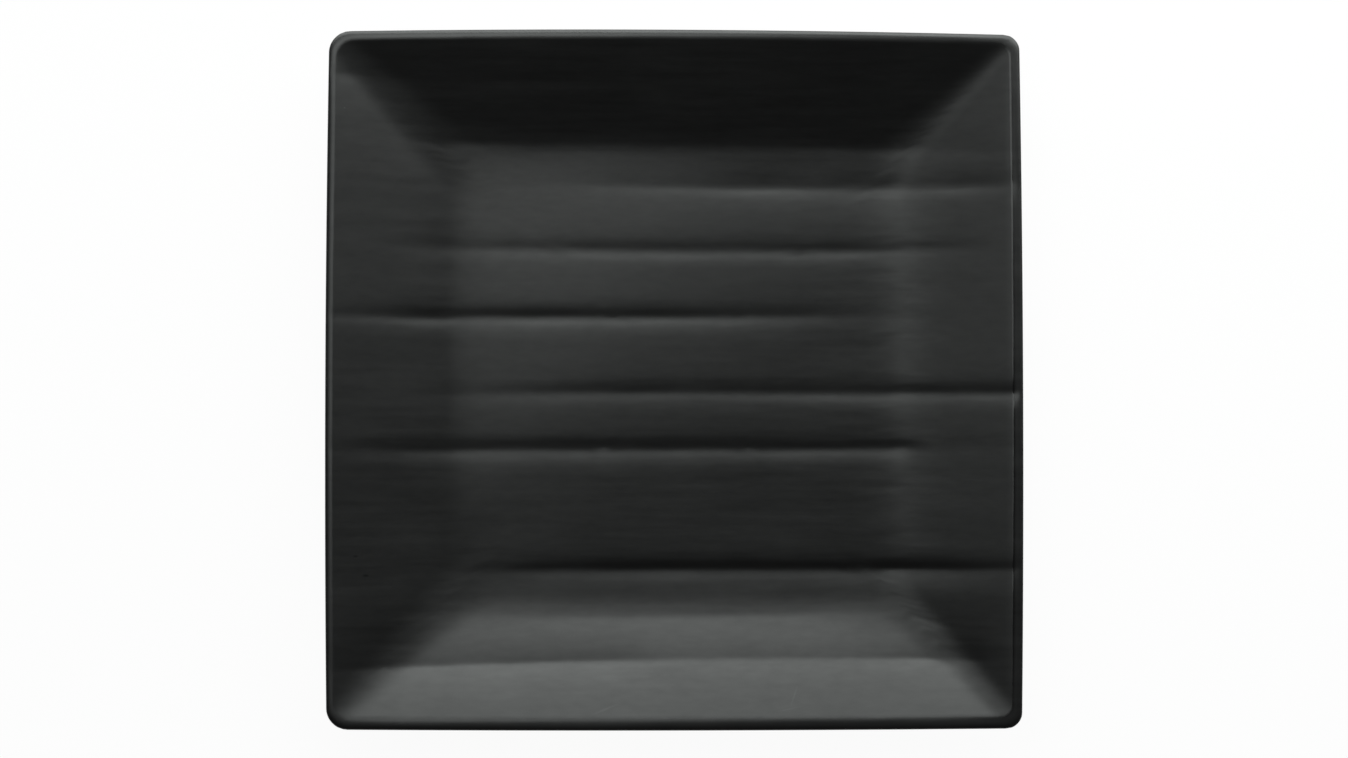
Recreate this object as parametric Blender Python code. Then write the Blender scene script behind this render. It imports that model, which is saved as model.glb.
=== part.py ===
"""Square melamine plate, modelled as its two pressed layers: the moulded body and the glaze on its face.

Metres, +Z up. The origin is under the middle of the plate, on the surface that the foot stands on.
-Y is the near side, and shallow grooves cross the face along X.
"""

import math
from collections import namedtuple

import bmesh
import bpy

# Overall form: left to right and near to far over the middle of the swollen sides, foot to crest, both layers
# together, plan corners, and how far the middle of each side swells beyond its corners
PLATE_WIDTH = 0.2700
PLATE_LENGTH = 0.2712
PLATE_HEIGHT = 0.025
WALL = 0.0042
CORNER_RADIUS = 0.0072
SIDE_BOW = 0.0010

# Rim lip: outline to crest in plan, how much narrower it is on the left and wider on the right, the body's own edge
# below the glaze, and the width of the rounding under that edge
LIP_WIDTH = 0.0027
LIP_SKEW = 0.0003
LIP_EDGE = 0.0015
LIP_UNDERCUT = 0.0017

# Well: the floor inside the slopes, how far it lies to the right and to the far side of the middle, its corners, the
# half width of the soft bend between floor and slope, and how far the middle of the floor stands above its edges
WELL_WIDTH = 0.1755
WELL_LENGTH = 0.1765
WELL_RIGHT = 0.0012
WELL_FAR = 0.0020
WELL_CORNER_RADIUS = 0.012
WELL_BLEND = 0.007
FLOOR_CROWN = 0.0012

# Foot ring under the well, set in from the well's edge
FOOT_HEIGHT = 0.0020
FOOT_WIDTH = 0.0050
FOOT_INSET = 0.0040
FOOT_CORNER_RADIUS = 0.012
FOOT_DRAFT = 0.0004

# Pressed layers: the glaze, and the joint that bonds it to the body
GLAZE = 0.0004
BOND_GAP = 0.0003

# Grooves: each is rounded this much at its bottom, and fades in and out over this length
GROOVE_ROUND = 0.0010
GROOVE_FADE = 0.040

# A groove's line is its distance from the middle of the plate towards the far side. Its start and end are measured
# in from the left and right crests, and less than nothing runs out over the rim. It dies away over its flank on both
# sides of the line. Its bow is how much further towards the far side the line lies at the crests.
Groove = namedtuple("Groove", "line start end depth flank bow")
FAR_EDGE = WELL_FAR + WELL_LENGTH / 2
NEAR_EDGE = WELL_FAR - WELL_LENGTH / 2
FAR_SLOPE_GROOVE = 0.0264
NEAR_BEND_GROOVE = 0.0052
NEAR_SLOPE_GROOVE = 0.0220
GROOVES = (
    Groove(FAR_EDGE + FAR_SLOPE_GROOVE, -0.020, 0.185, 0.00040, 0.0038, 0.0000),
    Groove(FAR_EDGE, 0.030, 0.015, 0.00015, 0.0032, 0.0000),
    Groove(0.0766, 0.085, -0.030, 0.00055, 0.0045, 0.0000),
    Groove(0.0512, -0.005, 0.005, 0.00040, 0.0034, 0.0010),
    Groove(0.0252, -0.030, 0.040, 0.00055, 0.0036, 0.0004),
    Groove(-0.0042, 0.030, -0.030, 0.00045, 0.0033, -0.0008),
    Groove(-0.0264, -0.030, 0.020, 0.00050, 0.0033, 0.0000),
    Groove(-0.0734, 0.050, -0.030, 0.00070, 0.0042, -0.0006),
    Groove(NEAR_EDGE - NEAR_BEND_GROOVE, 0.055, 0.045, 0.00030, 0.0060, 0.0020),
    Groove(NEAR_EDGE - NEAR_SLOPE_GROOVE, -0.030, 0.010, 0.00090, 0.0065, -0.0020),
)

# Facets: the mesh lines across each groove in flanks, across each bend of the face and up the back of it in blends,
# the steps round a corner, a lip and its underside, and the closest and widest spacing of the lines
GROOVE_LINES = (0.0, -1.2, 1.2)
BEND_LINES = (0.0, -1.4, 1.4)
BACK_LINES = (2.4, 1.0, 0.0)
CORNER_STEPS = 3
LIP_STEPS = 3
UNDER_STEPS = 2
CLOSEST_LINES = 0.0013
WIDEST_LINES = 0.0150
SHARP_ANGLE = math.radians(40)

# Finish: linear colour and roughness
BODY_FINISH = ((0.0120, 0.0125, 0.0122), 0.55)
GLAZE_FINISH = ((0.0150, 0.0155, 0.0152), 0.38)

# Worked out from the sizes above
CREST_X = PLATE_WIDTH / 2 - SIDE_BOW - LIP_WIDTH
CREST_Y = PLATE_LENGTH / 2 - SIDE_BOW - LIP_WIDTH
CREST_CORNER = CORNER_RADIUS - LIP_WIDTH / 2
FLOOR_Z = FOOT_HEIGHT + WALL
SLOPE_RUN = (CREST_X + CREST_Y) / 2 - (WELL_WIDTH + WELL_LENGTH) / 4
LAYERS = GLAZE + BOND_GAP

# A rounded square in plan: its half sizes, corner radius, swell of the sides, and shift along X and Y
Loop = namedtuple("Loop", "half_x half_y corner bow shift_x shift_y")


def between(first, last, share):
    """Value at a share of the way from first to last."""
    return first + (last - first) * share


def lip_loop(inset):
    """Loop of the lip, at an inset from the outline of the plate."""
    share = inset / LIP_WIDTH
    half_x = CREST_X + LIP_WIDTH - inset
    half_y = CREST_Y + LIP_WIDTH - inset
    return Loop(half_x, half_y, between(CORNER_RADIUS, CREST_CORNER, share), SIDE_BOW, -LIP_SKEW * share, 0.0)


def dish_loop(depth):
    """Loop inside the crest: depth 0 is the crest, 1 is the edge of the well, more is inside the well."""
    half_x = between(CREST_X, WELL_WIDTH / 2, depth)
    half_y = between(CREST_Y, WELL_LENGTH / 2, depth)
    if depth > 1:
        return Loop(half_x, half_y, WELL_CORNER_RADIUS * half_x / (WELL_WIDTH / 2), 0.0, WELL_RIGHT, WELL_FAR)
    corner = between(CREST_CORNER, WELL_CORNER_RADIUS, depth)
    shift_x = between(-LIP_SKEW, WELL_RIGHT, depth)
    return Loop(half_x, half_y, corner, SIDE_BOW * (1 - depth), shift_x, WELL_FAR * depth)


def foot_loop(inset):
    """Loop of the foot ring, at an inset from its outer edge."""
    outer_x = WELL_WIDTH / 2 - FOOT_INSET
    half_x = outer_x - inset
    half_y = WELL_LENGTH / 2 - FOOT_INSET - inset
    return Loop(half_x, half_y, FOOT_CORNER_RADIUS * half_x / outer_x, 0.0, WELL_RIGHT, WELL_FAR)


def settle(loop, x, y):
    """Carry a place on a loop's plain square onto its round corners and swollen sides."""
    core_x = loop.half_x - loop.corner
    core_y = loop.half_y - loop.corner
    over_x = abs(x) - core_x
    over_y = abs(y) - core_y
    swell_x = 0.0
    swell_y = 0.0
    if loop.bow:
        swell_x = loop.bow * x / loop.half_x * (1 - (y / loop.half_y) ** 2)
        swell_y = loop.bow * y / loop.half_y * (1 - (x / loop.half_x) ** 2)
    if over_x > 0 and over_y > 0:
        reach = math.hypot(over_x, over_y)
        x = math.copysign(core_x + loop.corner * over_x / reach, x)
        y = math.copysign(core_y + loop.corner * over_y / reach, y)
    return x + swell_x + loop.shift_x, y + swell_y + loop.shift_y


def soft_ramp(run):
    """Zero on the floor, rising one to one up the slope, with a soft bend between them."""
    return (run + math.hypot(run, WELL_BLEND)) / 2


def dish_height(depth):
    """Height of the face on the loop at this depth."""
    return FLOOR_Z + (PLATE_HEIGHT - FLOOR_Z) * soft_ramp((1 - depth) * SLOPE_RUN) / soft_ramp(SLOPE_RUN)


def crown_height(x, y):
    """How far the crowned floor stands above its edges at a place."""
    off_x = (x - WELL_RIGHT) / (WELL_WIDTH / 2)
    off_y = (y - WELL_FAR) / (WELL_LENGTH / 2)
    return FLOOR_CROWN * max(1 - off_x**2, 0.0) * max(1 - off_y**2, 0.0)


def back_height(depth):
    """Height of the back, one wall below the face and square to it."""
    run = (1 - depth) * SLOPE_RUN
    bend = (1 + run / math.hypot(run, WELL_BLEND)) / 2
    slope = bend * (PLATE_HEIGHT - FLOOR_Z) / soft_ramp(SLOPE_RUN)
    return dish_height(depth) - WALL * math.hypot(1, slope)


def edge_heights():
    """Heights at the outline: the parting line, the glaze's seat, and where the back would meet the outline."""
    turn_z = back_height(-LIP_WIDTH / SLOPE_RUN)
    seat_z = turn_z + LIP_EDGE
    return seat_z + LAYERS, seat_z, turn_z


def fade(distance):
    """Zero before the end of a groove, one beyond its fade length."""
    share = min(max(distance / GROOVE_FADE, 0.0), 1.0)
    return share * share * (3 - 2 * share)


def groove_depth(x, y):
    """Depth of all the grooves at a place on the face."""
    total = 0.0
    for groove in GROOVES:
        strength = fade(x + CREST_X - groove.start) * fade(CREST_X - groove.end - x)
        line = groove.line + groove.bow * (x / CREST_X) ** 2
        away = math.hypot(y - line, GROOVE_ROUND) - GROOVE_ROUND
        total += groove.depth * strength * math.exp(-away / groove.flank)
    return total


def mesh_lines(fixed, wished):
    """Sorted places of mesh lines: every fixed one, each wished one with room, and fillers in the wide gaps."""
    placed = list(fixed)
    for line in wished:
        if all(abs(line - other) >= CLOSEST_LINES for other in placed):
            placed.append(line)
    placed.sort()
    lines = placed[:1]
    for low, high in zip(placed, placed[1:]):
        count = math.ceil((high - low) / WIDEST_LINES)
        lines += [between(low, high, step / count) for step in range(1, count + 1)]
    return lines


def corner_lines(crest):
    """Places along a side that divide the corner arcs of the crest evenly."""
    core = crest - CREST_CORNER
    angles = [math.pi / 4 * step / CORNER_STEPS for step in range(CORNER_STEPS + 1)]
    return [side * (core + CREST_CORNER * math.tan(angle)) for angle in angles for side in (-1, 1)]


def bend_lines(edge):
    """Places across the bend at each edge of the well."""
    return [side * (edge + WELL_BLEND * step) for step in BEND_LINES for side in (-1, 1)]


def extrude_loop(bm, edges, seat, loop, level, groove_share=0.0):
    """Extrude a boundary loop onto a new loop at a level, less a share of the grooves, and return its edges."""
    made = bmesh.ops.extrude_edge_only(bm, edges=edges)["geom"]
    for vert in (part for part in made if isinstance(part, bmesh.types.BMVert)):
        x, y = settle(loop, vert[seat].x * loop.half_x, vert[seat].y * loop.half_y)
        vert.co = (x, y, level - groove_share * groove_depth(x, y))
    return [part for part in made if isinstance(part, bmesh.types.BMEdge) and part.is_boundary]


def face_sheet():
    """Open sheet of the eating face out to the parting line, with each vertex's seat on a loop and the edges."""
    columns = mesh_lines(corner_lines(CREST_X), bend_lines(WELL_WIDTH / 2))
    crossings = [groove.line + groove.flank * step for step in GROOVE_LINES for groove in GROOVES]
    rows = mesh_lines(corner_lines(CREST_Y), bend_lines(WELL_LENGTH / 2) + crossings)
    bm = bmesh.new()
    seat = bm.verts.layers.float_vector.new("seat")
    bmesh.ops.create_grid(bm, x_segments=len(columns) - 1, y_segments=len(rows) - 1, size=0.5)
    for vert in bm.verts:
        x = columns[round((vert.co.x + 0.5) * (len(columns) - 1))]
        y = rows[round((vert.co.y + 0.5) * (len(rows) - 1))]
        vert[seat] = (x / CREST_X, y / CREST_Y, 0)
        depth_x = (CREST_X - abs(x)) / (CREST_X - WELL_WIDTH / 2)
        depth_y = (CREST_Y - abs(y)) / (CREST_Y - WELL_LENGTH / 2)
        depth = min(depth_x, depth_y)
        x, y = settle(dish_loop(depth), x, y)
        vert.co = (x, y, dish_height(depth) + crown_height(x, y) - groove_depth(x, y))
    edges = [edge for edge in bm.edges if edge.is_boundary]
    drop = PLATE_HEIGHT - edge_heights()[0]
    for step in range(1, LIP_STEPS + 1):
        angle = math.pi / 2 * step / LIP_STEPS
        left = 1 - math.sin(angle)
        level = PLATE_HEIGHT - drop * (1 - math.cos(angle))
        edges = extrude_loop(bm, edges, seat, lip_loop(LIP_WIDTH * left), level, left)
    bm.normal_update()
    return bm, seat, edges


def back_stations():
    """Loops and levels down the back of the body, from the seat of the glaze's edge to the foot's inner wall."""
    _, seat_z, turn_z = edge_heights()
    under_z = back_height((LIP_UNDERCUT - LIP_WIDTH) / SLOPE_RUN)
    stations = [(lip_loop(LAYERS), seat_z), (lip_loop(0), seat_z)]
    for step in range(1, UNDER_STEPS + 1):
        share = step / UNDER_STEPS
        level = between(between(seat_z, turn_z, share), between(turn_z, under_z, share), share)
        stations.append((lip_loop(LIP_UNDERCUT * share * share), level))
    for step in BACK_LINES:
        depth = 1 - WELL_BLEND * step / SLOPE_RUN
        stations.append((dish_loop(depth), back_height(depth)))
    stations.append((foot_loop(0), back_height(1 + FOOT_INSET / SLOPE_RUN)))
    stations.append((foot_loop(FOOT_DRAFT), 0.0))
    stations.append((foot_loop(FOOT_WIDTH - FOOT_DRAFT), 0.0))
    stations.append((foot_loop(FOOT_WIDTH), FOOT_HEIGHT))
    return stations


def make_material(name, finish):
    """Principled material with this finish."""
    colour, roughness = finish
    material = bpy.data.materials.new(name)
    material.use_nodes = True
    shader = material.node_tree.nodes["Principled BSDF"]
    shader.inputs["Base Color"].default_value = (*colour, 1.0)
    shader.inputs["Roughness"].default_value = roughness
    shader.inputs["Metallic"].default_value = 0.0
    return material


def make_object(name, bm, finish, parent):
    """Smooth-shaded object from a finished mesh."""
    mesh = bpy.data.meshes.new(name)
    bm.to_mesh(mesh)
    bm.free()
    mesh.shade_smooth()
    mesh.set_sharp_from_angle(angle=SHARP_ANGLE)
    mesh.materials.append(make_material(name, finish))
    made = bpy.data.objects.new(name, mesh)
    made.parent = parent
    bpy.context.collection.objects.link(made)
    return made


def make_glaze(parent):
    """Glaze layer: the face given its thickness inwards."""
    bm, _, _ = face_sheet()
    glaze = make_object("face_glaze", bm, GLAZE_FINISH, parent)
    shell = glaze.modifiers.new("Glaze thickness", "SOLIDIFY")
    shell.thickness = GLAZE
    shell.offset = -1
    shell.use_even_offset = True


def make_body(parent):
    """Moulded body: the face set in by the glaze and its bond, closed by the back and the foot."""
    bm, seat, edges = face_sheet()
    places = [vert.co - vert.normal * LAYERS for vert in bm.verts]
    for vert, place in zip(bm.verts, places):
        vert.co = place
    for loop, level in back_stations():
        edges = extrude_loop(bm, edges, seat, loop, level)
    bmesh.ops.contextual_create(bm, geom=edges)
    bmesh.ops.recalc_face_normals(bm, faces=bm.faces)
    make_object("plate_body", bm, BODY_FINISH, parent)


def main():
    """Clear the scene and make both layers under one empty."""
    for old in list(bpy.data.objects):
        bpy.data.objects.remove(old)
    plate = bpy.data.objects.new("plate", None)
    bpy.context.collection.objects.link(plate)
    make_body(plate)
    make_glaze(plate)


main()
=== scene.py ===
"""Dress a square melamine plate: a satin black glazed face over a moulded body, on a pale studio floor.

Laid out as a Blender add-on and run as a script. Metres, +Z up. The far side of the plate is +Y, and shallow,
uneven grooves cross its face along X.
"""

import math
from collections import namedtuple

import bmesh
import bpy
from bpy.props import FloatProperty, FloatVectorProperty, IntProperty, PointerProperty
from mathutils import Matrix, Vector


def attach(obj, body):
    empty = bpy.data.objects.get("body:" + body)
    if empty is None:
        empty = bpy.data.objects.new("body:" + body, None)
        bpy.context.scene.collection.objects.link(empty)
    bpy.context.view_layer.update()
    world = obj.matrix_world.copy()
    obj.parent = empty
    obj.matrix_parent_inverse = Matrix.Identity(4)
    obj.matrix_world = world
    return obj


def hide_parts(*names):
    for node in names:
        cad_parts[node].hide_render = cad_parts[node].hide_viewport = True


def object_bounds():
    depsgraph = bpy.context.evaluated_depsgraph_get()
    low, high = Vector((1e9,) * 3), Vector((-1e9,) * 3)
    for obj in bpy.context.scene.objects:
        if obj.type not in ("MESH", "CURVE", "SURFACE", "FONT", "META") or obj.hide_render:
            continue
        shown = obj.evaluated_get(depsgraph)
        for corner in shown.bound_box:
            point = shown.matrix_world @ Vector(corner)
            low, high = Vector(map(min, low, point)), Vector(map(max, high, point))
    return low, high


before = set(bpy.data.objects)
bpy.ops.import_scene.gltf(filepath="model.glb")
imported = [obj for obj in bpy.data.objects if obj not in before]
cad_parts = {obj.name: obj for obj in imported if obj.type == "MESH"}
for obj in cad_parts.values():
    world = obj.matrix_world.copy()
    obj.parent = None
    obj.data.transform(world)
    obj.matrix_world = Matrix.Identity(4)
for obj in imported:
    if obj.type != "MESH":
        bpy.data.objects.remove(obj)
CAD_LOW, CAD_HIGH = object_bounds()

bl_info = {
    "name": "Square melamine plate",
    "version": (1, 0, 0),
    "blender": (4, 5, 0),
    "location": "View3D > Sidebar > Plate",
    "description": "Makes the glazed face and moulded body of a square plate, and a studio to show it in",
    "category": "Object",
}

MM = 0.001
QUARTER_TURN = math.pi / 2

# The picture that the camera frames, in pixels, and how many of them the plate spans
PICTURE_WIDTH = 1348
PLATE_SPAN = 698.5

# Angle past which an edge of a finished piece stays sharp
SHARP_ANGLE = math.radians(50)

# The tree that makes the face, and the attributes that it stores: each place's seat on its plain square, and
# its shares of the polish and shine along the crest and of the buffing along the right shoulder
FACE_TREE = "Plate face"
SEAT = "seat"
CREST = "crest"
BUFF = "buff"

# Share of the plate's half size over which its left and right sides pass into its far and near ends
MITRE_SHARE = 0.25

# Grooves, in millimetres from the middle of the plate. The line is measured towards the far side, and the
# groove runs from start to end along X and fades in and out there. Its depth dies away over the far and near
# flanks from a rounded bottom. At the right shoulder the line has tilted and bowed, and the groove has
# deepened, by these amounts.
Groove = namedtuple(
    "Groove",
    "line start end depth far near round fade_in fade_out tilt bow deepen",
    defaults=(0, 0, 0),
)

# What the three runs of the nearest groove share
NEAR_LINE = {"line": -108.3, "far": 7.5, "round": 0.6, "tilt": 1.7, "bow": -1.9}

GROOVES = (
    Groove(116.6, -160, -10, 0.40, 7.5, 7, 0.6, fade_in=20, fade_out=50, tilt=0.6, bow=2),
    Groove(93.5, -98, 152, 0.45, 8, 1.9, 2.4, fade_in=8, fade_out=60, tilt=-1.3, bow=-2.9, deepen=0.08),
    Groove(76.6, -77, 152, 0.95, 7.2, 4.3, 1.5, fade_in=93, fade_out=45, tilt=-1.5, bow=1.4, deepen=0.3),
    Groove(51.2, -131, 131, 0.68, 2.1, 1.8, 2.7, fade_in=100, fade_out=38, tilt=-0.2, bow=1.3, deepen=-0.1),
    Groove(25.2, -156, 108, 0.96, 1.8, 1.8, 2.8, fade_in=99, fade_out=125, tilt=0.9, bow=0.5),
    Groove(-4.2, -125, 139, 0.57, 1.8, 1.8, 2.7, fade_in=100, fade_out=8, tilt=0.5, bow=-1.3, deepen=0.35),
    Groove(-26.4, -155, 99, 0.82, 1.8, 1.9, 2.8, fade_in=92, fade_out=12, tilt=0.6, bow=-0.2, deepen=0.14),
    Groove(-26.4, 76, 148, 0.27, 2.2, 6, 2.4, fade_in=18, fade_out=60, tilt=0.6, bow=-0.2),
    Groove(-73.4, -108, 165, 1.07, 1.8, 3.9, 2.1, fade_in=88, fade_out=80, tilt=0.5, bow=-0.6, deepen=0.25),
    Groove(-91.6, -104, 92, 0.54, 7.5, 7.5, 1.0, fade_in=90, fade_out=57, tilt=1.3, bow=3.4, deepen=-0.4),
    Groove(start=-140, end=130, depth=0.70, near=7.5, fade_in=45, fade_out=22, **NEAR_LINE),
    Groove(start=-141, end=10, depth=0.78, near=8, fade_in=43, fade_out=45, **NEAR_LINE),
    Groove(start=66, end=126, depth=0.50, near=7.5, fade_in=30, fade_out=22, **NEAR_LINE),
)

# How often to the metre a groove's line, its depth and the crest of the rim wander, how uneven the depth is,
# and how far apart the grooves wander for each metre between their lines
LINE_CELLS = 45.0
DEPTH_CELLS = 30.0
CREST_CELLS = 60.0
DEPTH_UNEVEN = 0.6
GROOVES_APART = 1900.0

# Where the right and far crests start to wander. The left and near ones start as far back.
SIDE_START = 3.0
END_START = 5.0

# Cells to the metre, along X and Y, of the streaks drawn across the face and of the drift of its bends, the
# finer layers of noise over the first, and how far apart two seeds lie
STREAK_CELLS = (22.0, 230.0)
DRIFT_CELLS = (30.0, 90.0)
STREAK_DETAIL = 3.0
SEED_STEP = 7.31

# Noise: the strength of each finer layer against the one before, the middle, and about where it is lowest and
# highest
FINER_SHARE = 0.55
NOISE_MIDDLE = 0.5
NOISE_LOW = 0.3
NOISE_HIGH = 0.7

# Grain of the two finishes: cells to the metre along each axis, and finer layers of noise over the first
Grain = namedtuple("Grain", "cells detail")
GLAZE_DRAWN = Grain((20, 330, 20), 4.0)
GLAZE_CLOUD = Grain((26, 45, 26), 2.0)
GLAZE_MOTTLE = Grain((150, 420, 150), 2.0)
GLAZE_PEEL = Grain((700, 900, 700), 1.0)
BODY_CLOUD = Grain((30, 30, 60), 3.0)
BODY_GRAIN = Grain((1600, 1600, 1600), 2.0)

# Light marks on the glaze: middle, length, width and turn in millimetres and degrees, and strength
Mark = namedtuple("Mark", "x y length width turn strength")
SCUFFS = (
    Mark(-27, -127, 14, 1.2, 22, 0.6),
    Mark(46, -122, 10, 1.0, 70, 0.4),
    Mark(44, -127, 12, 0.8, 12, 0.4),
    Mark(-128, 105, 0.9, 0.7, 0, 0.9),
)

# Dull specks on the glaze
SPECKS = (
    Mark(-123.2, -68.2, 2.4, 1.4, 0, 0.8),
    Mark(-119.3, -75.6, 3.0, 1.4, 0, 1.0),
)

# Lines of the mesh from the middle of the plate outwards: across the flat of the well, the slope and the lip
Lines = namedtuple("Lines", "well slope lip")
GLAZE_COLUMNS = Lines(18, 22, 13)
GLAZE_ROWS = Lines(130, 66, 13)
BODY_COLUMNS = Lines(12, 14, 6)
BODY_ROWS = Lines(50, 26, 6)

# How many blends inside the edge of the well the lines of the slope start
SLOPE_START = 2.0

# Steps of the body's mesh under the lip, down the back and round each turn of the foot ring
UNDER_STEPS = 6
BACK_STEPS = 18
FOOT_STEPS = 4

# Sizes that the face's tree takes as they are, in inputs of the same names
PLAIN_SIZES = (
    "corner_lean", "bow_lean", "lip_left", "lip_far", "lip_waver", "side_crest", "well_right", "well_far",
    "well_corner", "crown_left", "crown_far", "groove_strength", "streak_depth", "streak_lean", "streak_seed",
    "mitre_fray",
)

# A rounded square in plan: its half sizes, corner radius, swell of the sides, and shift along X and Y
Loop = namedtuple("Loop", "half_x half_y corner bow shift_x shift_y")

# A lip: its width, the half width and the inset of the ellipse inside its crest, and its lean where it leaves
# the slope
Lip = namedtuple("Lip", "width shoulder inset lean")

# Studio lamps: where the middle of the panel is, its width and height, and its strength over its area
Panel = namedtuple("Panel", "name place width height radiance")
PANELS = (
    Panel("far_panel", (0.126, 0.681, 0.355), 1.98, 0.82, 4.44),
    Panel("left_panel", (-0.150, 0.160, 0.660), 0.45, 0.31, 1.80),
)


def length(name, default, description):
    """Property for a size in metres."""
    return FloatProperty(name=name, description=description, default=default, unit="LENGTH", precision=5)


def share(name, default, description):
    """Property for a share of something."""
    return FloatProperty(name=name, description=description, default=default, subtype="FACTOR")


def colour(name, default, description):
    """Property for a linear colour."""
    return FloatVectorProperty(
        name=name, description=description, default=default, size=3, subtype="COLOR", min=0, max=1
    )


class PlateSizes(bpy.types.PropertyGroup):
    """Sizes of the plate."""

    across: length("Across", CAD_HIGH.x - CAD_LOW.x, "From left to right, at the middle of the swollen sides")
    deep: length("Deep", CAD_HIGH.y - CAD_LOW.y, "From near to far, at the middle of the swollen sides")
    height: length("Height", CAD_HIGH.z, "From the foot to the crest of the rim")
    wall: length("Wall", 4.2 * MM, "Thickness of the plate, square to its face")
    corner: length("Corner radius", 7.1 * MM, "Radius of the outline's corners in plan")
    corner_lean: share("Corner lean", 0.14, "How much rounder the left corners are, and tighter the right")
    bow: length("Side bow", 1.0 * MM, "How far the middle of each side swells beyond its corners")
    bow_lean: share("Bow lean", 0.4, "How much more the far side swells, and less the near side")
    lip: length("Side lip width", 2.9 * MM, "From the left and right outline to the crest, in plan")
    lip_end: length("End lip width", 2.5 * MM, "From the far and near outline to the crest, in plan")
    lip_left: length("Lip left", 0.5 * MM, "How much narrower the left lip is, and wider the right one")
    lip_far: length("Lip far", 0.45 * MM, "How much narrower the far lip is, and wider the near one")
    lip_waver: length("Lip waver", 0.3 * MM, "How far the crest wanders from its line")
    shoulder: length("Side shoulder", 1.9 * MM, "Half width of the ellipse inside the left and right crests")
    shoulder_end: length("End shoulder", 2.9 * MM, "Half width of the ellipse inside the far and near crests")
    side_crest: share("Side crest", 0.36, "Share of the crest's polish and shine on the left and right")
    lip_square: FloatProperty(
        name="Lip squareness",
        description="2 rolls the lip over in an ellipse, and more in a squarer curve",
        default=2.6,
    )
    lip_edge: length("Lip edge", 1.6 * MM, "Height of the body's own edge below the glaze")
    undercut: length("Lip undercut", 1.7 * MM, "Width of the rounding under the lip")
    well_width: length("Well width", 176.5 * MM, "Width of the floor")
    well_length: length("Well length", 176.5 * MM, "Length of the floor, from near to far")
    well_right: length("Well right", 0.65 * MM, "How far the floor lies to the right of the middle")
    well_far: length("Well far", 1.75 * MM, "How far the floor lies to the far side of the middle")
    well_corner: length("Well corner radius", 14 * MM, "Radius of the floor's corners")
    blend: length("Well blend", 6.7 * MM, "Half width of the bend from the floor to the far and near slopes")
    blend_sides: share("Side blend", 0.75, "How much broader the bend is on the left and right")
    fray: share("Well fray", 0.12, "How far the drift upsets the soft bend, which it does most on the right")
    crown: length("Floor crown", 2.05 * MM, "How far the middle of the floor stands above its edges")
    crown_left: share("Crown left", 0.70, "How much of the crown leans to the left")
    crown_far: share("Crown far", 0.23, "How much of the crown leans to the far side")
    foot_height: length("Foot height", 2.0 * MM, "Height of the foot ring below the body's floor")
    foot_width: length("Foot width", 5.0 * MM, "Width of the foot ring")
    foot_inset: length("Foot inset", 4.0 * MM, "From the edge of the well in to the foot ring")
    foot_corner: length("Foot corner radius", 12 * MM, "Radius of the foot ring's corners in plan")
    foot_round: length("Foot rounding", 0.8 * MM, "Radius of the foot ring's edges")
    glaze: length("Glaze", 0.4 * MM, "Thickness of the glaze")
    bond: length("Bond", 0.05 * MM, "Joint between the glaze and the body")
    groove_strength: share("Groove strength", 1.0, "Share of the grooves' full depth")
    waver: length("Groove waver", 0.5 * MM, "How far the grooves wander from their lines")
    streak_depth: length("Streak depth", 0.028 * MM, "Depth of the streaks along the middle of the face")
    streak_lean: share("Streak lean", 0.4, "How much deeper the streaks are at the right shoulder")
    mitre_fray: share("Mitre fray", 0.45, "How far the drift upsets the corners where two slopes meet")
    mitre_near: share("Near mitre fray", 1.4, "How much more the drift upsets the near right corner")
    streak_seed: IntProperty(name="Streak seed", description="Choice of streaks", default=4)


class PlateFinish(bpy.types.PropertyGroup):
    """Colours and gloss of the plate."""

    glaze_dark: colour("Glaze", (0.0008, 0.0009, 0.0009), "Colour of the glaze")
    glaze_pale: colour("Glaze streaks", (0.0022, 0.0023, 0.0023), "Colour of the paler streaks in the glaze")
    glaze_gloss: share("Glaze roughness", 0.40, "Middle roughness of the glaze")
    crest_polish: share("Crest polish", 0.11, "How much less rough the glaze is along the crest of the rim")
    buff: share("Buff", 0.28, "How much less rough the glaze is along the shoulder on the right")
    crest_shine: share("Crest shine", 0.50, "How much more the glaze shines along the crest of the rim")
    mottle: share("Mottle", 0.14, "How unevenly the glaze shines")
    shine: share("Shine", 0.5, "Middle shine of the glaze, as the shader's specular level")
    drawn_rough: share("Drawn roughness", 0.12, "How much the roughness changes over the drawn streaks")
    cloud_rough: share("Cloud roughness", 0.10, "How much the roughness changes over the clouds of the glaze")
    scuff_rough: share("Scuff roughness", 0.1, "How much rougher the scuffs are")
    speck_dull: share("Speck dullness", 0.3, "How much less the specks shine")
    drawn_depth: length("Drawn depth", 0.014 * MM, "Depth of the finest drawn streaks, as bump")
    peel_depth: length("Peel depth", 0.002 * MM, "Depth of the orange peel, as bump")
    body_dark: colour("Body", (0.0045, 0.0047, 0.0046), "Colour of the moulded body")
    body_pale: colour("Body cloud", (0.0085, 0.0087, 0.0085), "Colour of the paler clouding in the body")
    body_gloss: share("Body roughness", 0.50, "Middle roughness of the body")
    body_cloud_rough: share("Body cloud roughness", 0.12, "How much the roughness changes over the clouds")
    body_grain_rough: share("Body grain roughness", 0.10, "How much the roughness changes over the grain")
    body_grain_depth: length("Body grain depth", 0.012 * MM, "Depth of the body's grain, as bump")
    scuff: colour("Scuff", (0.030, 0.031, 0.031), "Colour of light scuffs on the glaze")


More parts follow.
